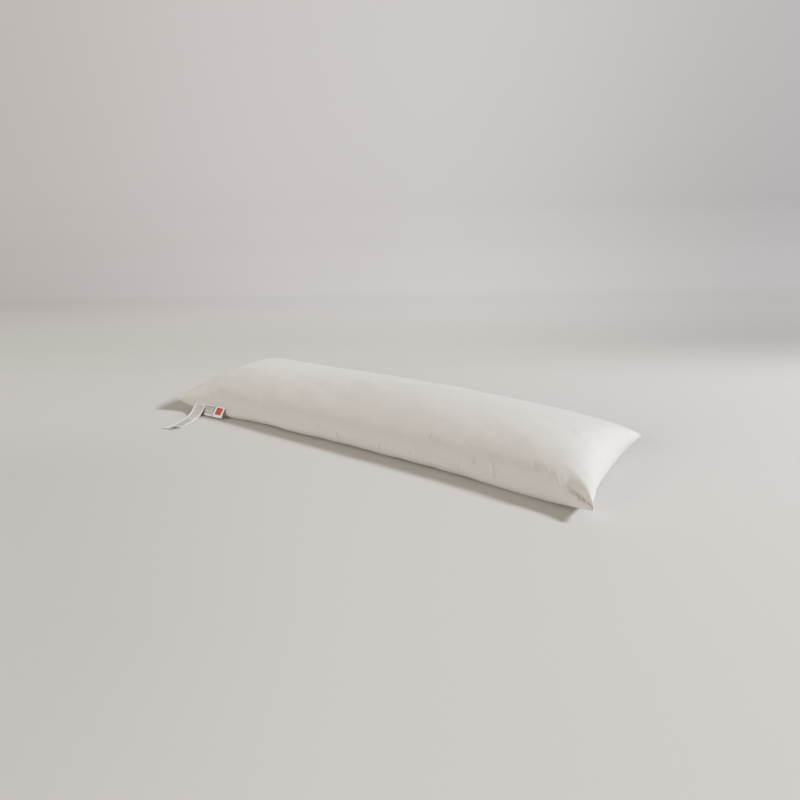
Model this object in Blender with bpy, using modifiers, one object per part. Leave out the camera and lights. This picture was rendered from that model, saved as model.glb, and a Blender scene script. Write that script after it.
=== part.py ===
"""A long body support pillow that lies on its back, with three labels sewn into its near side seam.

Metres, +Z up. The origin is on the surface that the pillow lies on, under its middle.
+X runs along the pillow, and -Y is the side with the labels.
"""
import math
from collections import namedtuple

import bmesh
import bpy

# Pillow sizes, at its seam: a cover cut 1.50 m by 0.52 m, filled
HALF_LENGTH = 0.735
HALF_WIDTH_AT_CORNERS = 0.247
HALF_WIDTH_AT_MIDDLE = 0.205
END_DRAW_IN = 0.028
THICKNESS = 0.160
SEAM_HEIGHT = 0.048

# How full the form is: a higher power keeps it fuller towards an edge
SIDE_CURVE_POWER = 6.5
END_FULLNESS_POWER = 4.4
END_ROUNDNESS = 0.45
MIDDLE_SECTION_POWER = 1.8
END_SECTION_POWER = 3.2
UNDERSIDE_DEPTH = 0.12
DROOP_POWER = 4

# Each corner's end and side, and the height that its tip droops to
Corner = namedtuple("Corner", "end side tip_height")
CORNERS = (
    Corner(-1, -1, 0.051),
    Corner(-1, 1, 0.044),
    Corner(1, -1, 0.038),
    Corner(1, 1, 0.044),
)

# The near side seam sags where the labels are sewn in
SAG_X = -0.64
SAG_REACH = 0.11
SAG_DEPTH = 0.012

# Broad unevenness of the filling under the top panel
Lump = namedtuple("Lump", "x y radius rise")
LUMPS = (
    Lump(-0.60, 0.03, 0.11, 0.004),
    Lump(-0.42, 0.03, 0.14, -0.008),
    Lump(-0.26, -0.02, 0.16, -0.006),
    Lump(0.14, 0.04, 0.20, 0.004),
    Lump(0.36, -0.07, 0.12, -0.004),
    Lump(0.55, 0.05, 0.13, -0.005),
)

# Steps of the pillow's surface along its length and across its width
LENGTH_STEPS = 56
WIDTH_STEPS = 24
WELD_DISTANCE = 1e-5

# Labels: sheets that hang from the near side seam
LABEL_THICKNESS = 0.0010
SEAM_GAP = 0.0008
LABEL_STEPS_ACROSS = 4
LABEL_STEPS_PER_ROW = 4

# A label's rows say how far out from the seam it is, how high, and how far it has shifted along +X,
# from its sewn end to its free end
Row = namedtuple("Row", "out height shift")
Label = namedtuple("Label", "name middle_x width rows")
CARE_LABEL = Label("care_label", -0.6415, 0.046, (
    Row(0.000, 0.0350, 0.000),
    Row(0.012, 0.0215, 0.001),
    Row(0.026, 0.0090, 0.003),
    Row(0.043, 0.0022, 0.006),
    Row(0.065, 0.0012, 0.014),
    Row(0.090, 0.0012, 0.023),
    Row(0.115, 0.0016, 0.029),
    Row(0.138, 0.0032, 0.029),
    Row(0.158, 0.0065, 0.026),
))
FIBRE_LABEL = Label("fibre_label", -0.5980, 0.039, (
    Row(0.0000, 0.0365, 0.0),
    Row(0.0040, 0.0285, 0.0),
    Row(0.0095, 0.0190, 0.0),
    Row(0.0145, 0.0095, 0.0),
    Row(0.0180, 0.0030, 0.0),
))
SQUARE_LABEL = Label("square_label", -0.5485, 0.048, (
    Row(0.0000, 0.0400, 0.0),
    Row(0.0060, 0.0325, 0.0),
    Row(0.0130, 0.0235, 0.0),
    Row(0.0190, 0.0145, 0.0),
    Row(0.0230, 0.0060, 0.0),
))


def new_collection(name):
    collection = bpy.data.collections.new(name)
    bpy.context.scene.collection.children.link(collection)
    return collection


def principled_material(name, colour, roughness):
    material = bpy.data.materials.new(name)
    material.use_nodes = True
    shader = material.node_tree.nodes["Principled BSDF"]
    shader.inputs["Base Color"].default_value = (*colour, 1.0)
    shader.inputs["Roughness"].default_value = roughness
    shader.inputs["Metallic"].default_value = 0.0
    return material


def object_from(bm, name, material, collection):
    """Makes a smooth-shaded object from a mesh under construction."""
    mesh = bpy.data.meshes.new(name)
    bm.to_mesh(mesh)
    bm.free()
    mesh.shade_smooth()
    mesh.materials.append(material)
    piece = bpy.data.objects.new(name, mesh)
    collection.objects.link(piece)
    return piece


def half_width(along):
    """The seam's distance from the pillow's middle line, at a place from -1 to 1 along its length."""
    flare = abs(along) ** SIDE_CURVE_POWER
    return HALF_WIDTH_AT_MIDDLE + (HALF_WIDTH_AT_CORNERS - HALF_WIDTH_AT_MIDDLE) * flare


def seam_height(along, across):
    """The seam plane's height, which sags at the labels and droops at each corner."""
    sag = SAG_DEPTH * math.exp(-((HALF_LENGTH * along - SAG_X) / SAG_REACH) ** 2)
    height = SEAM_HEIGHT - sag * max(0.0, -across) ** DROOP_POWER
    for end, side, tip_height in CORNERS:
        near = max(0.0, end * along) ** DROOP_POWER * max(0.0, side * across) ** DROOP_POWER
        height += (tip_height - SEAM_HEIGHT) * near
    return height


def fullness(along, across):
    """How far the filling pushes the panels apart, from 0 at the seam to 1 in the middle."""
    lengthwise = max(0.0, 1 - abs(along) ** END_FULLNESS_POWER) ** END_ROUNDNESS
    power = MIDDLE_SECTION_POWER + (END_SECTION_POWER - MIDDLE_SECTION_POWER) * along ** 4
    crosswise = math.sqrt(max(0.0, 1 - abs(across) ** power))
    return lengthwise * crosswise


def lump_height(x, y):
    height = 0.0
    for centre_x, centre_y, radius, rise in LUMPS:
        distance = math.hypot(x - centre_x, y - centre_y) / radius
        height += rise * math.exp(-distance ** 2)
    return height


def pillow_point(along, across, side):
    """A point of the top panel (side 1) or the bottom panel (side -1)."""
    draw_in = END_DRAW_IN * abs(along) ** 3 * (1 - across ** 2)
    x = HALF_LENGTH * along - math.copysign(draw_in, along)
    y = half_width(along) * across
    seam = seam_height(along, across)
    full = fullness(along, across)
    if side > 0:
        return x, y, seam + (THICKNESS - SEAM_HEIGHT + lump_height(x, y)) * full
    return x, y, max(0.0, seam - UNDERSIDE_DEPTH * full)


def eased(place):
    """Spreads even steps from -1 to 1 so that they close up towards the seams."""
    return math.sin(place * math.pi / 2)


def make_pillow(material, collection):
    """Two panels from one grid each, joined along the seam that runs right round."""
    bm = bmesh.new()
    for side in (1, -1):
        grid = bmesh.ops.create_grid(bm, x_segments=LENGTH_STEPS, y_segments=WIDTH_STEPS, size=1)
        for vertex in grid["verts"]:
            vertex.co = pillow_point(eased(vertex.co.x), eased(vertex.co.y), side)
        if side < 0:
            under = {face for vertex in grid["verts"] for face in vertex.link_faces}
            bmesh.ops.reverse_faces(bm, faces=list(under))
    bmesh.ops.remove_doubles(bm, verts=bm.verts, dist=WELD_DISTANCE)
    return object_from(bm, "pillow", material, collection)


def seam_y(x):
    """The near side seam's Y at a place along the pillow, near enough for the labels sewn into it."""
    return -half_width(x / HALF_LENGTH)


def row_at(rows, place):
    """A smooth curve through the rows, at a place counted in rows."""
    index = min(int(place), len(rows) - 2)
    share = place - index
    before = rows[max(index - 1, 0)]
    start = rows[index]
    end = rows[index + 1]
    after = rows[min(index + 2, len(rows) - 1)]
    point = []
    for a, b, c, d in zip(before, start, end, after):
        bend = (2 * a - 5 * b + 4 * c - d) * share ** 2 + (3 * b - a - 3 * c + d) * share ** 3
        point.append(b + 0.5 * ((c - a) * share + bend))
    return point


def make_label(label, material, collection):
    """A sheet that starts along the seam and follows its rows outwards and down."""
    last_row = len(label.rows) - 1
    bm = bmesh.new()
    grid = bmesh.ops.create_grid(
        bm, x_segments=LABEL_STEPS_ACROSS, y_segments=LABEL_STEPS_PER_ROW * last_row, size=1
    )
    for vertex in grid["verts"]:
        x = label.middle_x + vertex.co.x * label.width / 2
        out, height, shift = row_at(label.rows, (1 - vertex.co.y) / 2 * last_row)
        vertex.co = (x + shift, seam_y(x) - SEAM_GAP - out, height)
    piece = object_from(bm, label.name, material, collection)
    solidify = piece.modifiers.new("thickness", "SOLIDIFY")
    solidify.thickness = LABEL_THICKNESS
    solidify.offset = 0.0
    return piece


def main():
    for leftover in list(bpy.data.objects):
        bpy.data.objects.remove(leftover)
    collection = new_collection("support_pillow")
    cotton = principled_material("cotton_cover", (0.65, 0.625, 0.60), 0.9)
    satin = principled_material("label_satin", (0.74, 0.73, 0.71), 0.5)
    woven = principled_material("label_woven", (0.80, 0.79, 0.77), 0.75)
    make_pillow(cotton, collection)
    make_label(CARE_LABEL, satin, collection)
    make_label(FIBRE_LABEL, satin, collection)
    make_label(SQUARE_LABEL, woven, collection)


main()
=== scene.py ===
"""The looks of a long body support pillow on its back, with three labels in its near side seam.

Metres, +Z up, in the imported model's frame. +X runs along the pillow, and -Y is the side with the labels.
"""
import math
from collections import namedtuple

import bpy
import numpy as np
from mathutils import Matrix, Vector


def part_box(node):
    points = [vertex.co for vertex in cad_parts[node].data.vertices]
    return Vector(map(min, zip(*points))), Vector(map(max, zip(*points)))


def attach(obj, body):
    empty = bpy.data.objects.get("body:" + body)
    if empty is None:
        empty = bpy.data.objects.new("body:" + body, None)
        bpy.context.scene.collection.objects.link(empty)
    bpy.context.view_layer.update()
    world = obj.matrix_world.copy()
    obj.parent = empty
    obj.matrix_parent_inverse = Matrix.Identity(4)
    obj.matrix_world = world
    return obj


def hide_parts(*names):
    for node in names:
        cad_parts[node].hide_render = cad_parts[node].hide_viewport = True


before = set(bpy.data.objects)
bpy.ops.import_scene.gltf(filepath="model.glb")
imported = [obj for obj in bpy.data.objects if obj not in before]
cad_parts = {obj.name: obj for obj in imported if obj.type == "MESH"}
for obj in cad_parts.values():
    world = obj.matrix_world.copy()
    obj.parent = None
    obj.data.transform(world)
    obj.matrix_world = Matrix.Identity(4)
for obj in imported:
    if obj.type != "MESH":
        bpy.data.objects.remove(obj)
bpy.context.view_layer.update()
PILLOW_LOW, PILLOW_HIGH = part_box("pillow")

# The pillow's form, as in its solid
HALF_LENGTH = (PILLOW_HIGH.x - PILLOW_LOW.x) / 2
HALF_WIDTH_AT_CORNERS = (PILLOW_HIGH.y - PILLOW_LOW.y) / 2
HALF_WIDTH_AT_MIDDLE = 0.205
END_DRAW_IN = 0.028
THICKNESS = 0.160
SEAM_HEIGHT = 0.048
SIDE_CURVE_POWER = 6.5
END_FULLNESS_POWER = 4.4
END_ROUNDNESS = 0.45
MIDDLE_SECTION_POWER = 1.8
END_SECTION_POWER = 3.2
UNDERSIDE_DEPTH = 0.12
DROOP_POWER = 4
SAG_X = -0.64
SAG_REACH = 0.11
SAG_DEPTH = 0.012
Corner = namedtuple("Corner", "end side tip_height")
CORNERS = (
    Corner(-1, -1, 0.051),
    Corner(-1, 1, 0.044),
    Corner(1, -1, 0.038),
    Corner(1, 1, 0.044),
)
Lump = namedtuple("Lump", "x y radius rise")
LUMPS = (
    Lump(-0.60, 0.03, 0.11, 0.004),
    Lump(-0.42, 0.03, 0.14, -0.008),
    Lump(-0.26, -0.02, 0.16, -0.006),
    Lump(0.14, 0.04, 0.20, 0.004),
    Lump(0.36, -0.07, 0.12, -0.004),
    Lump(0.55, 0.05, 0.13, -0.005),
)

# The cover's two flat panels, and the grid that settles
FLAT_LENGTH = 1.50
FLAT_WIDTH = 0.52
SETTLE_STEP = 0.0145
SETTLE_FRAMES = 28
FILL_PRESSURE = 2.7
THREAD_MASS = 0.02
THREAD_MASS_STEP = 0.0125
FLOOR_SIZE = 4
FLOOR_FRICTION = 10
FLOOR_CLEARANCE = 0.004
FLOOR_CONTACT_QUALITY = 3
START_LIFT = 0.006
MOST_SETTLE_MOVE = 0.03
CLOTH_BEHAVIOUR = {
    "quality": 6,
    "tension_stiffness": 60,
    "compression_stiffness": 60,
    "shear_stiffness": 10,
    "bending_stiffness": 0.05,
    "tension_damping": 15,
    "compression_damping": 15,
    "shear_damping": 10,
    "bending_damping": 0.5,
    "air_damping": 3,
}

# The bottom panel's place on the flat cloth lies this far beside the top panel's
UNDER_OFFSET = FLAT_WIDTH * 1.1

# Points that measure a curve's length, and a length too small to divide by
CURVE_SAMPLES = 4001
TINY = 1e-9

# The finished panels' steps, closest at the seams
EDGE_STEP = 0.0022
LENGTH_STEP = 0.0030
WIDTH_STEP = 0.0075
GRADING_REACH = 0.07

# How fast the long seams' lift fades towards the panels' middles
LIFT_POWER = 4

# Along the stitches the cloth folds in, with a soft roll beside the fold
STITCH_FOLD = 0.0004
STITCH_FOLD_WIDTH = 0.003
SEAM_ROLL = 0.0003
SEAM_ROLL_PLACE = 0.008
SEAM_ROLL_WIDTH = 0.005

# Small puckers that the stitches pull into the panels, each between a least and a greatest size
PUCKER_SPACING = (0.014, 0.042)
PUCKER_WIDTH = (0.0038, 0.0065)
PUCKER_REACH = (0.012, 0.035)
PUCKER_DEPTH = (0.0002, 0.0008)
PUCKER_SLANT = 0.35
PUCKER_SEED = 11

# Slack cloth: shallow waves in all directions
WAVE_COUNT = 26
WAVE_LENGTH = (0.07, 0.26)
WAVE_HEIGHT = 0.0006
WAVE_SEED = 4

# Creases placed on the flat cloth, each from its deepest end to the end where it fades.
# Side 1 is the top panel and side -1 the bottom one. A ridge has a negative depth.
Crease = namedtuple("Crease", "side width depth path")
CREASES = (
    Crease(-1, 0.0045, 0.0040, ((-0.043, -0.258), (-0.040, -0.221))),
    Crease(-1, 0.0045, 0.0034, ((0.114, -0.258), (0.111, -0.224))),
    Crease(-1, 0.0045, 0.0034, ((0.217, -0.258), (0.219, -0.238))),
    Crease(1, 0.0045, 0.0026, ((-0.119, -0.258), (-0.119, -0.240))),
    Crease(-1, 0.0045, 0.0024, ((0.369, -0.256), (0.371, -0.240))),
    Crease(1, 0.0050, -0.0032, ((0.460, -0.259), (0.454, -0.243), (0.447, -0.222))),
    Crease(-1, 0.0050, -0.0030, ((0.460, -0.259), (0.466, -0.236))),
    Crease(1, 0.0050, 0.0026, ((0.408, -0.246), (0.412, -0.228))),
    Crease(1, 0.0050, 0.0018, ((0.259, -0.209), (0.263, -0.196))),
    Crease(1, 0.0045, 0.0020, ((0.563, -0.214), (0.560, -0.199))),
    Crease(1, 0.0045, 0.0016, ((0.574, -0.217), (0.573, -0.203))),
    Crease(1, 0.0042, -0.0019, ((0.595, -0.221), (0.593, -0.205))),
    Crease(1, 0.0060, -0.0034, (
        (0.672, -0.254), (0.644, -0.251), (0.627, -0.240), (0.619, -0.218), (0.617, -0.198),
    )),
    Crease(1, 0.0190, 0.0105, ((0.692, -0.231), (0.664, -0.227), (0.634, -0.216))),
    Crease(1, 0.0120, -0.0026, (
        (0.738, -0.240), (0.718, -0.213), (0.690, -0.191), (0.655, -0.177), (0.600, -0.170),
    )),
    Crease(1, 0.0080, 0.0065, ((0.736, -0.248), (0.712, -0.230))),
    Crease(1, 0.0045, 0.0026, ((0.682, -0.246), (0.677, -0.230))),
    Crease(1, 0.0045, 0.0026, ((0.697, -0.250), (0.693, -0.237))),
    Crease(1, 0.0060, 0.0036, ((0.748, 0.142), (0.728, 0.138))),
    Crease(-1, 0.0060, 0.0030, ((0.748, 0.142), (0.722, 0.152))),
    Crease(1, 0.0070, 0.0024, ((0.748, 0.060), (0.716, 0.052))),
    Crease(1, 0.0080, 0.0030, ((-0.742, -0.236), (-0.700, -0.196))),
    Crease(1, 0.0070, 0.0026, ((-0.748, -0.180), (-0.706, -0.160))),
    Crease(1, 0.0070, 0.0024, ((-0.720, -0.258), (-0.690, -0.226))),
    Crease(1, 0.0080, 0.0028, ((-0.744, 0.232), (-0.704, 0.198))),
    Crease(1, 0.0080, 0.0030, ((0.742, 0.238), (0.704, 0.204))),
)

# Beside a crease the cloth stands up in low, wide shoulders, a share of the crease's depth
CREASE_SHOULDER = 0.3
CREASE_SHOULDER_SPREAD = 4

# The filling bulges out low on the near side, in the bottom panel
Bulge = namedtuple("Bulge", "x reach out")
BULGES = (
    Bulge(-0.53, 0.11, 0.0140),
    Bulge(-0.24, 0.13, 0.0060),
    Bulge(0.52, 0.12, 0.0085),
)
BULGE_PLACE = 0.034
BULGE_WIDTH = 0.024

# The seam's turned-in cloth gathers in the corners
CORNER_BULK = 0.0030
CORNER_BULK_REACH = 0.035

# Labels: sheets sewn into the near side seam, on their solids' rows, with the care label's free end lower.
# A row says how far out from the seam the sheet is, how high, and how far it has shifted along +X.
LABEL_THICKNESS = 0.0004
SEAM_GAP = 0.0008
LABEL_STEP = 0.0020
LABEL_ROOT_REACH = 0.02
LABEL_CURL = 0.0006
Row = namedtuple("Row", "out height shift")
Label = namedtuple("Label", "name middle_x width length rows")
CARE_LABEL = Label("care_label", -0.6415, 0.046, 0.175, (
    Row(0.000, 0.0350, 0.000),
    Row(0.012, 0.0215, 0.001),
    Row(0.026, 0.0090, 0.003),
    Row(0.043, 0.0022, 0.006),
    Row(0.065, 0.0012, 0.014),
    Row(0.090, 0.0012, 0.023),
    Row(0.115, 0.0012, 0.029),
    Row(0.138, 0.0013, 0.029),
    Row(0.158, 0.0018, 0.026),
))
FIBRE_LABEL = Label("fibre_label", -0.5980, 0.039, 0.038, (
    Row(0.0000, 0.0365, 0.0),
    Row(0.0040, 0.0285, 0.0),
    Row(0.0095, 0.0190, 0.0),
    Row(0.0145, 0.0095, 0.0),
    Row(0.0180, 0.0030, 0.0),
))
SQUARE_LABEL = Label("square_label", -0.5485, 0.048, 0.041, (
    Row(0.0000, 0.0400, 0.0),
    Row(0.0060, 0.0325, 0.0),
    Row(0.0130, 0.0235, 0.0),
    Row(0.0190, 0.0145, 0.0),
    Row(0.0230, 0.0060, 0.0),
))


def half_width(along):
    """The seam's distance from the pillow's middle line, at a place from -1 to 1 along its length."""
    flare = np.abs(along) ** SIDE_CURVE_POWER
    return HALF_WIDTH_AT_MIDDLE + (HALF_WIDTH_AT_CORNERS - HALF_WIDTH_AT_MIDDLE) * flare


def panel_point(along, across, side):
    """Points of the solid's form: the top panel (side 1) or the bottom panel (side -1)."""
    draw_in = END_DRAW_IN * np.abs(along) ** 3 * (1 - across ** 2)
    x = HALF_LENGTH * along - np.sign(along) * draw_in
    lengthwise = np.clip(1 - np.abs(along) ** END_FULLNESS_POWER, 0, 1) ** END_ROUNDNESS
    power = MIDDLE_SECTION_POWER + (END_SECTION_POWER - MIDDLE_SECTION_POWER) * along ** 4
    full = lengthwise * np.sqrt(np.clip(1 - np.abs(across) ** power, 0, 1))
    seam = seam_height(along, across)
    z = seam + (THICKNESS - SEAM_HEIGHT) * full if side > 0 else seam - UNDERSIDE_DEPTH * full
    return np.stack([x, half_width(along) * across, np.maximum(z, 0)], -1)


def seam_height(along, across):
    """The seam plane's height, which sags at the labels and droops at each corner."""
    sag = SAG_DEPTH * np.exp(-((HALF_LENGTH * along - SAG_X) / SAG_REACH) ** 2)
    height = SEAM_HEIGHT - sag * np.clip(-across, 0, 1) ** DROOP_POWER
    for end, side, tip_height in CORNERS:
        near = np.clip(end * along, 0, 1) ** DROOP_POWER * np.clip(side * across, 0, 1) ** DROOP_POWER
        height = height + (tip_height - SEAM_HEIGHT) * near
    return height


def even_places(curve, count):
    """Places from -1 to 1 at even steps of arc length along a curve."""
    fine = np.linspace(-1, 1, CURVE_SAMPLES)
    points = curve(fine)
    reached = np.concatenate([[0], np.cumsum(np.linalg.norm(np.diff(points, axis=0), axis=1))])
    return np.interp(np.linspace(0, reached[-1], count), reached, fine)


def linked_object(name, data):
    """An object made from its data, in the scene."""
    piece = bpy.data.objects.new(name, data)
    bpy.context.scene.collection.objects.link(piece)
    return piece


def join_rims(top, under):
    """Gives the bottom panel the top panel's rim."""
    under[[0, -1]] = top[[0, -1]]
    under[:, [0, -1]] = top[:, [0, -1]]


def grid_object(name, panels, flat):
    """One closed mesh from the top and bottom panels' grids of points, which share their rim.

    flat holds each point's place on the flat cloth, which becomes the UV map.
    """
    rows, columns = panels[0].shape[:2]
    ids = np.arange(rows * columns).reshape(rows, columns)
    under_ids = ids.copy()
    inner = np.arange((rows - 2) * (columns - 2)).reshape(rows - 2, columns - 2)
    under_ids[1:-1, 1:-1] = rows * columns + inner
    points = np.concatenate([panels[0].reshape(-1, 3), panels[1][1:-1, 1:-1].reshape(-1, 3)])
    faces, corners = [], []
    for side, grid in ((1, ids), (-1, under_ids)):
        ring = [(slice(None, -1), slice(None, -1)), (slice(1, None), slice(None, -1)),
                (slice(1, None), slice(1, None)), (slice(None, -1), slice(1, None))][::side]
        faces.append(np.stack([grid[part] for part in ring], -1).reshape(-1, 4))
        shifted = flat + (0, 0 if side > 0 else UNDER_OFFSET)
        corners.append(np.stack([shifted[part] for part in ring], 2).reshape(-1, 2))
    mesh = bpy.data.meshes.new(name)
    mesh.from_pydata(points.tolist(), [], np.concatenate(faces).tolist())
    layer = mesh.uv_layers.new(name="cloth")
    layer.uv.foreach_set("vector", np.concatenate(corners).astype(np.float32).ravel())
    mesh.shade_smooth()
    return linked_object(name, mesh)


def points_of(piece):
    """A piece's evaluated points, modifiers included."""
    mesh = piece.evaluated_get(bpy.context.evaluated_depsgraph_get()).data
    points = np.zeros(len(mesh.vertices) * 3, np.float32)
    mesh.vertices.foreach_get("co", points)
    return points.reshape(-1, 3).astype(float)


def formed_panels(rows, columns):
    """The two panels of the solid's form, as grids of points at even steps."""
    panels = []
    for side in (1, -1):
        along = even_places(lambda t: panel_point(t, 0 * t, side), rows)
        across = even_places(lambda t: panel_point(0 * t, t, side), columns)
        panels.append(panel_point(*np.meshgrid(along, across, indexing="ij"), side))
    join_rims(*panels)
    return panels


def add_cut(cover, flat):
    """Keeps the flat panels in a shape key, which gives the cloth its rest lengths."""
    cover.shape_key_add(name="Basis")
    cut = cover.shape_key_add(name="cut")
    level = np.concatenate([flat, np.zeros((*flat.shape[:2], 1))], -1)
    level = np.concatenate([level.reshape(-1, 3), level[1:-1, 1:-1].reshape(-1, 3)])
    cut.data.foreach_set("co", level.astype(np.float32).ravel())
    cut.value = 0.0
    return cut


def add_ground():
    """The floor that the cover settles on."""
    bpy.ops.mesh.primitive_plane_add(size=FLOOR_SIZE)
    ground = bpy.context.object
    ground.modifiers.new("Collision", "COLLISION")
    ground.collision.thickness_outer = FLOOR_CLEARANCE
    ground.collision.cloth_friction = FLOOR_FRICTION
    return ground


def add_cloth(cover, cut):
    """Makes the cover a cloth that the filling presses out."""
    cloth = cover.modifiers.new("Cloth", "CLOTH")
    threads = cloth.settings
    for name, value in CLOTH_BEHAVIOUR.items():
        setattr(threads, name, value)
    threads.mass = THREAD_MASS * (SETTLE_STEP / THREAD_MASS_STEP) ** 2
    threads.use_pressure = True
    threads.uniform_pressure_force = FILL_PRESSURE
    threads.rest_shape_key = cut
    cloth.collision_settings.use_collision = True
    cloth.collision_settings.use_self_collision = False
    cloth.collision_settings.distance_min = FLOOR_CLEARANCE
    cloth.collision_settings.collision_quality = FLOOR_CONTACT_QUALITY
    cloth.point_cache.frame_start = 1
    cloth.point_cache.frame_end = SETTLE_FRAMES


def settle_cover():
    """Settles the filled cover on the floor with the cloth simulation.

    Returns its two panels' grids of points, held near the solid's form and at its thickness.
    """
    rows = round(FLAT_LENGTH / SETTLE_STEP) + 1
    columns = round(FLAT_WIDTH / SETTLE_STEP) + 1
    panels = formed_panels(rows, columns)
    flat = np.stack(np.meshgrid(
        np.linspace(-FLAT_LENGTH, FLAT_LENGTH, rows) / 2,
        np.linspace(-FLAT_WIDTH, FLAT_WIDTH, columns) / 2, indexing="ij"), -1)
    cover = grid_object("settling_cover", [panel + (0, 0, START_LIFT) for panel in panels], flat)
    cut = add_cut(cover, flat)
    ground = add_ground()
    add_cloth(cover, cut)
    for step in range(1, SETTLE_FRAMES + 1):
        bpy.context.scene.frame_set(step)
    settled = points_of(cover)
    bpy.context.scene.frame_set(1)
    bpy.data.objects.remove(cover)
    bpy.data.objects.remove(ground)

    settled[:, 2] -= settled[:, 2].min()
    settled[:, 2] *= THICKNESS / settled[:, 2].max()
    top = settled[:rows * columns].reshape(rows, columns, 3)
    under = top.copy()
    under[1:-1, 1:-1] = settled[rows * columns:].reshape(rows - 2, columns - 2, 3)
    capped = []
    for form, panel in zip(panels, (top, under)):
        move = panel - form
        far = np.linalg.norm(move, axis=-1, keepdims=True)
        capped.append(form + move * np.minimum(1, MOST_SETTLE_MOVE / np.maximum(far, TINY)))
    join_rims(*capped)
    return capped


def graded_places(length, middle_step):
    """Places from 0 to length, at steps that grow from the edge step to the middle step."""
    half = [0.0]
    while half[-1] < length / 2:
        grown = min(1, half[-1] / GRADING_REACH)
        half.append(half[-1] + EDGE_STEP + (middle_step - EDGE_STEP) * grown * grown * (3 - 2 * grown))
    half = np.array(half) * (length / 2 / half[-1])
    return np.concatenate([half, length - half[-2::-1]])


def smooth_rows(grid, places):
    """Reads a grid's first axis at places counted in rows.

    The curves are cubic B-splines, which run near the grid's points.
    """
    held = np.concatenate([[2 * grid[0] - grid[1]], grid, [2 * grid[-1] - grid[-2]]])
    index = np.minimum(places.astype(int), len(grid) - 2)
    t = (places - index)[:, None, None]
    weights = ((1 - t) ** 3, 3 * t ** 3 - 6 * t ** 2 + 4, -3 * t ** 3 + 3 * t ** 2 + 3 * t + 1, t ** 3)
    return sum(weight * held[index + k] for k, weight in enumerate(weights)) / 6


def fine_panels(panels):
    """The finished panels' points, and each point's place on the flat cloth."""
    x = graded_places(FLAT_LENGTH, LENGTH_STEP)
    y = graded_places(FLAT_WIDTH, WIDTH_STEP)
    rows, columns = panels[0].shape[:2]
    fine = []
    for panel in panels:
        rough = smooth_rows(panel, x / FLAT_LENGTH * (rows - 1))
        fine.append(smooth_rows(rough.swapaxes(0, 1), y / FLAT_WIDTH * (columns - 1)).swapaxes(0, 1))
    flat = np.stack(np.meshgrid(x - FLAT_LENGTH / 2, y - FLAT_WIDTH / 2, indexing="ij"), -1)
    return fine, flat


def settle_seam(panels, flat):
    """Brings the two long seams to the solid's seam height, with less effect towards the panels' middles."""
    across = 2 * flat[..., 1] / FLAT_WIDTH
    for edge, side in ((0, -1), (-1, 1)):
        rim = panels[0][:, edge]
        lift = seam_height(np.clip(rim[:, 0] / HALF_LENGTH, -1, 1), side) - rim[:, 2]
        reach = np.clip(across * side, 0, 1) ** LIFT_POWER
        for panel in panels:
            panel[..., 2] += lift[:, None] * reach


def normals_of(panel, side):
    """The outward normals of a panel's points."""
    normal = np.cross(np.gradient(panel, axis=0), np.gradient(panel, axis=1)) * side
    return normal / np.maximum(np.linalg.norm(normal, axis=-1, keepdims=True), TINY)


def rim_distance(flat):
    """How far places on the flat cloth are from the nearest seam."""
    return np.minimum(FLAT_LENGTH / 2 - np.abs(flat[..., 0]), FLAT_WIDTH / 2 - np.abs(flat[..., 1]))


def seam_relief(flat):
    """The fold along the stitches, the soft roll beside it, and the bulk in the corners."""
    inwards = rim_distance(flat)
    roll = SEAM_ROLL * np.exp(-((inwards - SEAM_ROLL_PLACE) / SEAM_ROLL_WIDTH) ** 2)
    from_corner = np.hypot(FLAT_LENGTH / 2 - np.abs(flat[..., 0]), FLAT_WIDTH / 2 - np.abs(flat[..., 1]))
    bulk = CORNER_BULK * np.exp(-(from_corner / CORNER_BULK_REACH) ** 2)
    return roll + bulk - STITCH_FOLD * np.exp(-(inwards / STITCH_FOLD_WIDTH) ** 2)


def pucker_relief(flat, side):
    """Puckers square to all four seams of a panel, more or less."""
    draw = np.random.default_rng(PUCKER_SEED + side)
    relief = np.zeros(flat.shape[:2])
    for axis, length, width in ((0, FLAT_LENGTH, FLAT_WIDTH), (1, FLAT_WIDTH, FLAT_LENGTH)):
        for edge in (-1, 1):
            inwards = width / 2 - edge * flat[..., 1 - axis]
            place = -length / 2 + draw.uniform(*PUCKER_SPACING)
            while place < length / 2:
                lean = draw.uniform(-PUCKER_SLANT, PUCKER_SLANT)
                aside = (flat[..., axis] - place - lean * inwards) / draw.uniform(*PUCKER_WIDTH)
                fade = np.clip(1 - inwards / draw.uniform(*PUCKER_REACH), 0, 1)
                relief -= draw.uniform(*PUCKER_DEPTH) * np.exp(-aside ** 2) * fade
                place += draw.uniform(*PUCKER_SPACING)
    return relief


def wave_relief(flat, side):
    """Shallow waves of slack cloth in all directions."""
    draw = np.random.default_rng(WAVE_SEED + side)
    relief = np.zeros(flat.shape[:2])
    for _ in range(WAVE_COUNT):
        turn = draw.uniform(0, math.tau)
        pace = math.tau / draw.uniform(*WAVE_LENGTH)
        start = draw.uniform(0, math.tau)
        relief += np.sin(pace * (flat[..., 0] * math.cos(turn) + flat[..., 1] * math.sin(turn)) + start)
    return relief * WAVE_HEIGHT / math.sqrt(WAVE_COUNT / 2)


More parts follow.
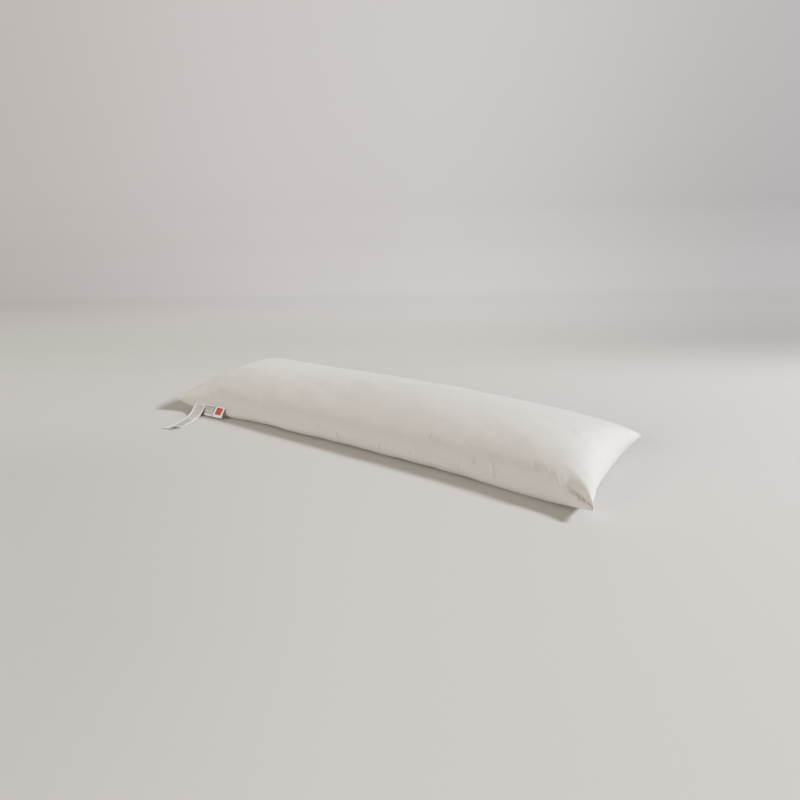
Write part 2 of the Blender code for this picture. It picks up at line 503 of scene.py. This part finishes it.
def crease_relief(flat, crease):
    """A soft trough with low shoulders along the crease's path, fading to the path's end."""
    path = np.array(crease.path)
    runs = np.linalg.norm(np.diff(path, axis=0), axis=1)
    starts = np.concatenate([[0], np.cumsum(runs)])
    nearest = np.full(flat.shape[:2], np.inf)
    reached = np.zeros(flat.shape[:2])
    for point, following, run, start in zip(path, path[1:], runs, starts):
        step = (following - point) / run
        along = np.clip((flat - point) @ step, 0, run)
        distance = np.linalg.norm(flat - point - along[..., None] * step, axis=-1)
        closer = distance < nearest
        reached = np.where(closer, (start + along) / starts[-1], reached)
        nearest = np.where(closer, distance, nearest)
    spread = (nearest / crease.width) ** 2
    trough = (1 + CREASE_SHOULDER) * np.exp(-spread)
    profile = trough - CREASE_SHOULDER * np.exp(-spread / CREASE_SHOULDER_SPREAD)
    return -crease.depth * profile * (1 - reached ** 2)


def bulge_relief(flat):
    """Where the filling bulges out below the near side seam."""
    from_seam = (flat[..., 1] + FLAT_WIDTH / 2 - BULGE_PLACE) / BULGE_WIDTH
    relief = np.zeros(flat.shape[:2])
    for bulge in BULGES:
        relief += bulge.out * np.exp(-((flat[..., 0] - bulge.x) / bulge.reach) ** 2)
    return relief * np.exp(-from_seam ** 2)


def add_relief(panels, flat):
    """Moves the panels' points along their normals, but for the rim that they share."""
    held = np.clip(rim_distance(flat) / EDGE_STEP, 0, 1)
    for side, panel in zip((1, -1), panels):
        relief = seam_relief(flat) + pucker_relief(flat, side) + wave_relief(flat, side)
        if side < 0:
            relief = relief + bulge_relief(flat)
        for crease in CREASES:
            if crease.side == side:
                relief = relief + crease_relief(flat, crease)
        panel += normals_of(panel, side) * (relief * held)[..., None]


def make_pillow(material):
    """The filled cover. Also returns the points of its near side seam."""
    panels, flat = fine_panels(settle_cover())
    settle_seam(panels, flat)
    for x, y, radius, rise in LUMPS:
        distance = np.hypot(panels[0][..., 0] - x, panels[0][..., 1] - y) / radius
        full = np.clip((panels[0][..., 2] - SEAM_HEIGHT) / (THICKNESS - SEAM_HEIGHT), 0, 1)
        panels[0][..., 2] += rise * np.exp(-distance ** 2) * full
    add_relief(panels, flat)
    for panel in panels:
        panel[..., 2] = np.maximum(panel[..., 2], 0)
    pillow = grid_object("pillow_cover", panels, flat)
    pillow.data.materials.append(material)
    return pillow, panels[0][:, 0]


def row_at(rows, place):
    """A smooth curve through a label's rows, at a place counted in rows."""
    index = min(int(place), len(rows) - 2)
    share = place - index
    before, start, end, after = (
        np.array(rows[min(max(index + k, 0), len(rows) - 1)]) for k in (-1, 0, 1, 2)
    )
    bend = (2 * before - 5 * start + 4 * end - after) * share ** 2
    bend += (3 * start - before - 3 * end + after) * share ** 3
    return start + 0.5 * ((end - before) * share + bend)


def make_label(label, material, seam):
    """A sheet that starts in the seam and follows its rows outwards and down."""
    rows = round(label.length / LABEL_STEP) + 1
    columns = round(label.width / LABEL_STEP) + 1
    points, cloth = [], []
    for row in range(rows):
        down = row / (rows - 1)
        out, height, shift = row_at(label.rows, down * (len(label.rows) - 1))
        tucked = max(0.0, 1 - out / LABEL_ROOT_REACH)
        for column in range(columns):
            across = 2 * column / (columns - 1) - 1
            x = label.middle_x + across * label.width / 2
            form_y = -half_width(x / HALF_LENGTH)
            seam_y = np.interp(x, seam[:, 0], seam[:, 1])
            curl = LABEL_CURL * across ** 2 * down
            y = form_y + (seam_y - form_y) * tucked - SEAM_GAP - out
            points.append((x + shift, y, height + curl))
            cloth.append((across * label.width / 2, down * label.length))
    faces = []
    for row in range(rows - 1):
        for column in range(columns - 1):
            first = row * columns + column
            faces.append((first, first + columns, first + columns + 1, first + 1))
    mesh = bpy.data.meshes.new(label.name)
    mesh.from_pydata(points, [], faces)
    layer = mesh.uv_layers.new(name="cloth")
    for loop in mesh.loops:
        layer.uv[loop.index].vector = cloth[loop.vertex_index]
    mesh.shade_smooth()
    mesh.materials.append(material)
    piece = linked_object(label.name + "_sheet", mesh)
    solidify = piece.modifiers.new("thickness", "SOLIDIFY")
    solidify.thickness = LABEL_THICKNESS
    solidify.offset = 0.0
    return piece


def new_material(name, roughness, sheen=0.0):
    """A material, with its node tree and its shader."""
    material = bpy.data.materials.new(name)
    material.use_nodes = True
    shader = material.node_tree.nodes["Principled BSDF"]
    shader.inputs["Roughness"].default_value = roughness
    shader.inputs["Sheen Weight"].default_value = sheen
    return material, material.node_tree, shader


def add_node(tree, kind, inputs, **settings):
    """Adds a node with its settings, and fills its inputs from sockets or plain values."""
    node = tree.nodes.new(kind)
    for name, value in settings.items():
        setattr(node, name, value)
    for place, value in inputs.items():
        if isinstance(value, bpy.types.NodeSocket):
            tree.links.new(value, node.inputs[place])
        else:
            node.inputs[place].default_value = value
    return node


def maths(tree, operation, *values):
    return add_node(tree, "ShaderNodeMath", dict(enumerate(values)), operation=operation).outputs[0]


def ramp(tree, value, start, end):
    """A smooth rise from 0 to 1 as the value goes from start to end."""
    return add_node(tree, "ShaderNodeMapRange", {"Value": value, "From Min": start, "From Max": end},
                    interpolation_type="SMOOTHSTEP").outputs[0]


def cloth_place(tree):
    """A point's place on the flat cloth, in metres."""
    return add_node(tree, "ShaderNodeUVMap", {}, uv_map="cloth").outputs["UV"]


# A wave texture's bands repeat at this distance, at a scale of 1
BAND_PERIOD = math.tau / 20

# How rough a noise is, from 0 to 1, and how soft a printed edge is, in metres
NOISE_ROUGHNESS = 0.55
PRINT_SOFTNESS = 0.0004

# Places of the sockets that a mix of two colours uses
MIX_SHARE = 0
MIX_FIRST = 6
MIX_SECOND = 7
MIX_RESULT = 2


def weave(tree, place, pitch):
    """Heights of threads that cross each other at one pitch."""
    heights = []
    for direction in ("X", "Y"):
        bands = add_node(tree, "ShaderNodeTexWave", {"Vector": place, "Scale": BAND_PERIOD / pitch},
                         bands_direction=direction)
        heights.append(bands.outputs["Fac"])
    return maths(tree, "ADD", *heights)


def noise(tree, place, size, detail):
    inputs = {"Vector": place, "Scale": 1 / size, "Detail": detail, "Roughness": NOISE_ROUGHNESS}
    return add_node(tree, "ShaderNodeTexNoise", inputs).outputs["Fac"]


def bump(tree, height, distance, normal=None):
    inputs = {"Height": height, "Distance": distance, "Strength": 1.0}
    if normal:
        inputs["Normal"] = normal
    return add_node(tree, "ShaderNodeBump", inputs).outputs["Normal"]


def mixed(tree, share, first, second):
    """Two colours, mixed by a share from 0 to 1."""
    inputs = {MIX_SHARE: share}
    for place, colour in ((MIX_FIRST, first), (MIX_SECOND, second)):
        inputs[place] = colour if isinstance(colour, bpy.types.NodeSocket) else (*colour, 1)
    return add_node(tree, "ShaderNodeMix", inputs, data_type="RGBA").outputs[MIX_RESULT]


def band(tree, value, low, high, softness=PRINT_SOFTNESS):
    """1 where a value lies between two limits, and 0 elsewhere, with soft edges."""
    rise = {"Value": value, "From Min": low - softness, "From Max": low + softness}
    fall = {"Value": value, "From Min": high + softness, "From Max": high - softness}
    slopes = [add_node(tree, "ShaderNodeMapRange", inputs).outputs[0] for inputs in (rise, fall)]
    return maths(tree, "MULTIPLY", *slopes)


# The cover's cotton: a plain weave, a little crumpled and uneven in tone
COTTON_COLOUR = (0.676, 0.650, 0.627)
COTTON_SHADE = (0.651, 0.623, 0.597)
COTTON_ROUGHNESS = 0.92
COTTON_SHEEN = 0.25
COTTON_PITCH = 0.0006
COTTON_THREAD_HEIGHT = 0.00006
CRUMPLE_SIZE = 0.022
CRUMPLE_HEIGHT = 0.0011
CRUMPLE_DETAIL = 3.0
MOTTLE_SIZE = 0.11
MOTTLE_DETAIL = 4.0


def cotton_material():
    material, tree, shader = new_material("cotton_cover", COTTON_ROUGHNESS, COTTON_SHEEN)
    place = cloth_place(tree)
    crumpled = bump(tree, noise(tree, place, CRUMPLE_SIZE, CRUMPLE_DETAIL), CRUMPLE_HEIGHT)
    threads = bump(tree, weave(tree, place, COTTON_PITCH), COTTON_THREAD_HEIGHT, crumpled)
    tree.links.new(threads, shader.inputs["Normal"])
    mottle = noise(tree, place, MOTTLE_SIZE, MOTTLE_DETAIL)
    tone = mixed(tree, mottle, COTTON_COLOUR, COTTON_SHADE)
    tree.links.new(tone, shader.inputs["Base Color"])
    return material


# The labels' ribbons
RIBBON_WHITE = (0.86, 0.85, 0.83)
RIBBON_GREY = (0.66, 0.65, 0.62)
# Grey for print, and for the painted shade along the square label's sides
PRINT_AND_SHADE_GREY = (0.17, 0.17, 0.165)
# Dark for the care label's patch, which is painted shade near the ribbon's end
PAINTED_SHADE_DARK = (0.085, 0.085, 0.075)
PLAIN_RED = (0.60, 0.10, 0.065)
RIBBON_SHEEN = 0.1
RIB_PITCH = 0.0008
RIB_HEIGHT = 0.00008

# A limit that no place on a label reaches
NO_LIMIT = 1.0

# The care label: plain printed rows, and a dark patch of painted shade near the ribbon's end. Start and end
# are counted down from the seam.
CARE_ROUGHNESS = 0.45
CARE_BORDER = 0.0065
CARE_PRINT_MARGIN = 0.004
PrintRows = namedtuple("PrintRows", "start end pitch half_height depth")
CARE_ROWS = (
    PrintRows(0.012, 0.076, 0.0080, 0.001000, 0.45),
    PrintRows(0.084, 0.138, 0.0045, 0.001125, 0.60),
)
# Where the care label's painted shade lies, and how dark it is
CARE_SHADE_PATCH_DOWN = (0.146, 0.168)
CARE_SHADE_PATCH_DOWN_SOFTNESS = 0.003
CARE_SHADE_PATCH_ACROSS = (-0.005, 0.020)
CARE_SHADE_PATCH_ACROSS_SOFTNESS = 0.002
CARE_SHADE_PATCH_DEPTH = 0.92

# The fibre label: a light grey box with darker bars
FIBRE_ROUGHNESS = 0.5
FIBRE_BOX = (0.004, 0.030)
FIBRE_BOX_GREY = (0.62, 0.61, 0.59)
FIBRE_BAR_HALF_LENGTH = 0.014
Bar = namedtuple("Bar", "start end depth")
FIBRE_BARS = (
    Bar(0.0065, 0.0095, 0.8),
    Bar(0.0135, 0.0155, 0.6),
    Bar(0.0235, 0.0250, 0.5),
)

# The square label: a plain red block, and painted shade at both sides
SQUARE_ROUGHNESS = 0.75
SQUARE_BLOCK_HALF_WIDTH = 0.013
SQUARE_BLOCK = (0.009, 0.031)
SQUARE_SIDE_SHADE_WIDTH = 0.003
SQUARE_SIDE_SHADE_DEPTH = 0.7


def ribbon(name, roughness):
    """A ribbon's material with its ribs, and a point's place across and down it."""
    material, tree, shader = new_material(name, roughness, RIBBON_SHEEN)
    place = cloth_place(tree)
    tree.links.new(bump(tree, weave(tree, place, RIB_PITCH), RIB_HEIGHT), shader.inputs["Normal"])
    split = add_node(tree, "ShaderNodeSeparateXYZ", {"Vector": place})
    return material, tree, shader, split.outputs["X"], split.outputs["Y"]


def both(tree, first, second):
    """1 where both values are 1."""
    return maths(tree, "MULTIPLY", first, second)


def printed_or_shaded_over(tree, colour, area, depth, ink_or_shade):
    """A colour with an area laid over it, for print and for painted shade, from depth 0, unseen, to 1."""
    return mixed(tree, maths(tree, "MULTIPLY", area, depth), colour, ink_or_shade)


def care_material():
    """A light grey ribbon with white borders, plain printed rows, and a dark patch of painted shade near its
    end.
    """
    material, tree, shader, across, down = ribbon("label_satin", CARE_ROUGHNESS)
    half = CARE_LABEL.width / 2 - CARE_BORDER
    middle = both(tree, band(tree, across, -half, half), band(tree, down, CARE_BORDER, NO_LIMIT))
    colour = mixed(tree, middle, RIBBON_WHITE, RIBBON_GREY)
    half -= CARE_PRINT_MARGIN
    for rows in CARE_ROWS:
        row = maths(tree, "PINGPONG", down, rows.pitch / 2)
        marks = both(tree, band(tree, row, -NO_LIMIT, rows.half_height), band(tree, across, -half, half))
        marks = both(tree, marks, band(tree, down, rows.start, rows.end))
        colour = printed_or_shaded_over(tree, colour, marks, rows.depth, PRINT_AND_SHADE_GREY)
    # Painted shade: a dark patch near the ribbon's end
    patch = both(tree, band(tree, down, *CARE_SHADE_PATCH_DOWN, CARE_SHADE_PATCH_DOWN_SOFTNESS),
                 band(tree, across, *CARE_SHADE_PATCH_ACROSS, CARE_SHADE_PATCH_ACROSS_SOFTNESS))
    colour = printed_or_shaded_over(tree, colour, patch, CARE_SHADE_PATCH_DEPTH, PAINTED_SHADE_DARK)
    tree.links.new(colour, shader.inputs["Base Color"])
    return material


def fibre_material():
    """A white ribbon with a light grey box and darker bars."""
    material, tree, shader, across, down = ribbon("label_printed", FIBRE_ROUGHNESS)
    inner = band(tree, across, -FIBRE_BAR_HALF_LENGTH, FIBRE_BAR_HALF_LENGTH)
    colour = mixed(tree, band(tree, down, *FIBRE_BOX), RIBBON_WHITE, FIBRE_BOX_GREY)
    for bar in FIBRE_BARS:
        area = both(tree, band(tree, down, bar.start, bar.end), inner)
        colour = printed_or_shaded_over(tree, colour, area, bar.depth, PRINT_AND_SHADE_GREY)
    tree.links.new(colour, shader.inputs["Base Color"])
    return material


def square_material():
    """A white woven ribbon with a plain red block, and painted shade at its two sides."""
    material, tree, shader, across, down = ribbon("label_woven", SQUARE_ROUGHNESS)
    block = both(tree, band(tree, across, -SQUARE_BLOCK_HALF_WIDTH, SQUARE_BLOCK_HALF_WIDTH),
                 band(tree, down, *SQUARE_BLOCK))
    colour = mixed(tree, block, RIBBON_WHITE, PLAIN_RED)
    side = SQUARE_LABEL.width / 2
    # Painted shade along both sides of the label
    for low, high in ((-side, -side + SQUARE_SIDE_SHADE_WIDTH), (side - SQUARE_SIDE_SHADE_WIDTH, side)):
        colour = printed_or_shaded_over(tree, colour, band(tree, across, low, high), SQUARE_SIDE_SHADE_DEPTH, PRINT_AND_SHADE_GREY)
    tree.links.new(colour, shader.inputs["Base Color"])
    return material


# Camera: what it looks at, and from where
AIM = Vector((-0.1125, 0.2475, 0.0))
CAMERA_AZIMUTH = math.radians(33.1)
CAMERA_ELEVATION = math.radians(19.65)
CAMERA_DISTANCE = 2.215
CAMERA_ROLL = math.radians(-0.91)
CAMERA_LENS_MM = 27.0


def make_camera():
    data = bpy.data.cameras.new("camera")
    data.lens = CAMERA_LENS_MM
    camera = linked_object("camera", data)
    back = Vector((
        math.sin(CAMERA_AZIMUTH) * math.cos(CAMERA_ELEVATION),
        -math.cos(CAMERA_AZIMUTH) * math.cos(CAMERA_ELEVATION),
        math.sin(CAMERA_ELEVATION),
    ))
    turn = (-back).to_track_quat("-Z", "Y").to_matrix().to_4x4() @ Matrix.Rotation(CAMERA_ROLL, 4, "Z")
    camera.matrix_world = Matrix.Translation(AIM + back * CAMERA_DISTANCE) @ turn
    bpy.context.scene.camera = camera


# Studio: a floor that curves up into a wall behind the pillow, square to the camera
FLOOR_NEAR = 6.0
COVE_START = 2.2
COVE_RADIUS = 0.6
WALL_HEIGHT = 3.2
STAGE_HALF_WIDTH = 6.0
COVE_STEPS = 24
PAPER_ROUGHNESS = 0.95

# The paper's painted light and shade, as tones at places along it, counted in metres behind the camera's aim
# and then up the wall
Tone = namedtuple("Tone", "place colour")
PAPER_PAINTED_LIGHT_TONES = (
    Tone(0.30, (0.656, 0.634, 0.614)),
    Tone(0.61, (0.640, 0.620, 0.592)),
    Tone(0.88, (0.627, 0.609, 0.579)),
    Tone(1.60, (0.645, 0.621, 0.605)),
    Tone(2.10, (0.634, 0.611, 0.599)),
    Tone(2.75, (0.566, 0.546, 0.538)),
    Tone(3.02, (0.561, 0.542, 0.534)),
    Tone(3.50, (0.611, 0.595, 0.592)),
)

# Painted shade towards the paper's sides, each between two places across it and coming in between two along
# it
Shade = namedtuple("Shade", "across_start across_end share along_start along_end")
SIDE_SHADES = (
    Shade(-0.6, -3.6, 0.85, 0.8, 2.4),
    Shade(0.0, 3.6, 0.68, 0.1, 0.9),
    Shade(-0.3, -3.6, 0.93, -0.1, -0.6),
)
FORWARD = Vector((-math.sin(CAMERA_AZIMUTH), math.cos(CAMERA_AZIMUTH), 0))
SIDEWAYS = Vector((FORWARD.y, -FORWARD.x, 0))

# The side shades fan out from the camera's foot, FAN_CENTRE before its aim. Their places across are
# counted at the wall, FAN_REACH from that foot. Nearer to it than FAN_LEAST they fan in no further.
FAN_CENTRE = 2.086
FAN_REACH = 4.886
FAN_LEAST = 0.9


def along_stage(tree, position, direction):
    """A place on the stage, in metres from the camera's aim along a level direction."""
    inputs = {0: position, 1: tuple(direction)}
    reach = add_node(tree, "ShaderNodeVectorMath", inputs, operation="DOT_PRODUCT")
    return maths(tree, "SUBTRACT", reach.outputs["Value"], AIM.dot(direction))


def studio_material():
    """Paper with painted light and shade: the tones of a soft curve behind the pillow, and painted shade at
    its sides.
    """
    material, tree, shader = new_material("studio_paper_painted_light", PAPER_ROUGHNESS)
    position = add_node(tree, "ShaderNodeNewGeometry", {}).outputs["Position"]
    height = add_node(tree, "ShaderNodeSeparateXYZ", {"Vector": position}).outputs["Z"]
    away = along_stage(tree, position, FORWARD)
    place = maths(tree, "ADD", away, height)
    # Painted light and shade along the paper, as its tones
    colour = PAPER_PAINTED_LIGHT_TONES[0].colour
    for before, after in zip(PAPER_PAINTED_LIGHT_TONES, PAPER_PAINTED_LIGHT_TONES[1:]):
        colour = mixed(tree, ramp(tree, place, before.place, after.place), colour, after.colour)
    from_centre = maths(tree, "MAXIMUM", maths(tree, "ADD", away, FAN_CENTRE), FAN_LEAST)
    spread = maths(tree, "DIVIDE", FAN_REACH, from_centre)
    across = maths(tree, "MULTIPLY", along_stage(tree, position, SIDEWAYS), spread)
    # Painted shade towards the paper's sides
    for shade in SIDE_SHADES:
        amount = maths(tree, "MULTIPLY", ramp(tree, across, shade.across_start, shade.across_end),
                       ramp(tree, place, shade.along_start, shade.along_end))
        left = maths(tree, "SUBTRACT", 1.0, maths(tree, "MULTIPLY", amount, 1 - shade.share))
        inputs = {0: colour, "Scale": left}
        colour = add_node(tree, "ShaderNodeVectorMath", inputs, operation="SCALE").outputs[0]
    tree.links.new(colour, shader.inputs["Base Color"])
    return material


def make_stage():
    profile = [(-FLOOR_NEAR, 0.0)]
    for step in range(COVE_STEPS + 1):
        turn = math.pi / 2 * step / COVE_STEPS
        profile.append((COVE_START + COVE_RADIUS * math.sin(turn), COVE_RADIUS * (1 - math.cos(turn))))
    profile.append((COVE_START + COVE_RADIUS, WALL_HEIGHT))
    points, faces = [], []
    for away, height in profile:
        for side in (-1, 1):
            aside = SIDEWAYS * (side * STAGE_HALF_WIDTH)
            points.append(AIM + FORWARD * away + aside + Vector((0, 0, height)))
    for row in range(len(profile) - 1):
        faces.append((2 * row, 2 * row + 1, 2 * row + 3, 2 * row + 2))
    mesh = bpy.data.meshes.new("studio")
    mesh.from_pydata(points, [], faces)
    mesh.shade_smooth()
    mesh.materials.append(studio_material())
    linked_object("studio", mesh)


# Soft boxes, each aimed at the floor under the pillow's middle. Azimuths run from +X towards +Y.
Softbox = namedtuple("Softbox", "name azimuth elevation distance size power colour")
SOFTBOXES = (
    Softbox("key", 23, 30, 15.0, 2.2, 2080, (0.94, 0.98, 1.06)),
    Softbox("fill", -114, 12, 14.0, 8.5, 930, (1.04, 0.99, 0.965)),
)
ROOM_LIGHT = (1.06, 1.0, 0.85)
ROOM_STRENGTH = 0.325


def make_lights():
    for box in SOFTBOXES:
        data = bpy.data.lights.new(box.name, "AREA")
        data.shape = "SQUARE"
        data.size = box.size
        data.energy = box.power
        data.color = box.colour
        light = linked_object(box.name, data)
        azimuth = math.radians(box.azimuth)
        elevation = math.radians(box.elevation)
        towards = Vector((
            math.cos(azimuth) * math.cos(elevation),
            math.sin(azimuth) * math.cos(elevation),
            math.sin(elevation),
        ))
        light.location = towards * box.distance
        light.rotation_mode = "QUATERNION"
        light.rotation_quaternion = (-towards).to_track_quat("-Z", "Y")
    world = bpy.data.worlds.new("world")
    world.use_nodes = True
    background = world.node_tree.nodes["Background"]
    background.inputs["Color"].default_value = (*ROOM_LIGHT, 1)
    background.inputs["Strength"].default_value = ROOM_STRENGTH
    bpy.context.scene.world = world


pillow, near_seam = make_pillow(cotton_material())
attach(pillow, "root")
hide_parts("pillow")
for label, material, slot in (
    (CARE_LABEL, care_material(), "label_satin"),
    (FIBRE_LABEL, fibre_material(), "label_satin"),
    (SQUARE_LABEL, square_material(), "label_woven"),
):
    sheet = make_label(label, material, near_seam)
    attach(sheet, "root")
    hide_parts(label.name)

make_camera()
make_stage()
make_lights()
bpy.context.scene.view_settings.view_transform = "Standard"
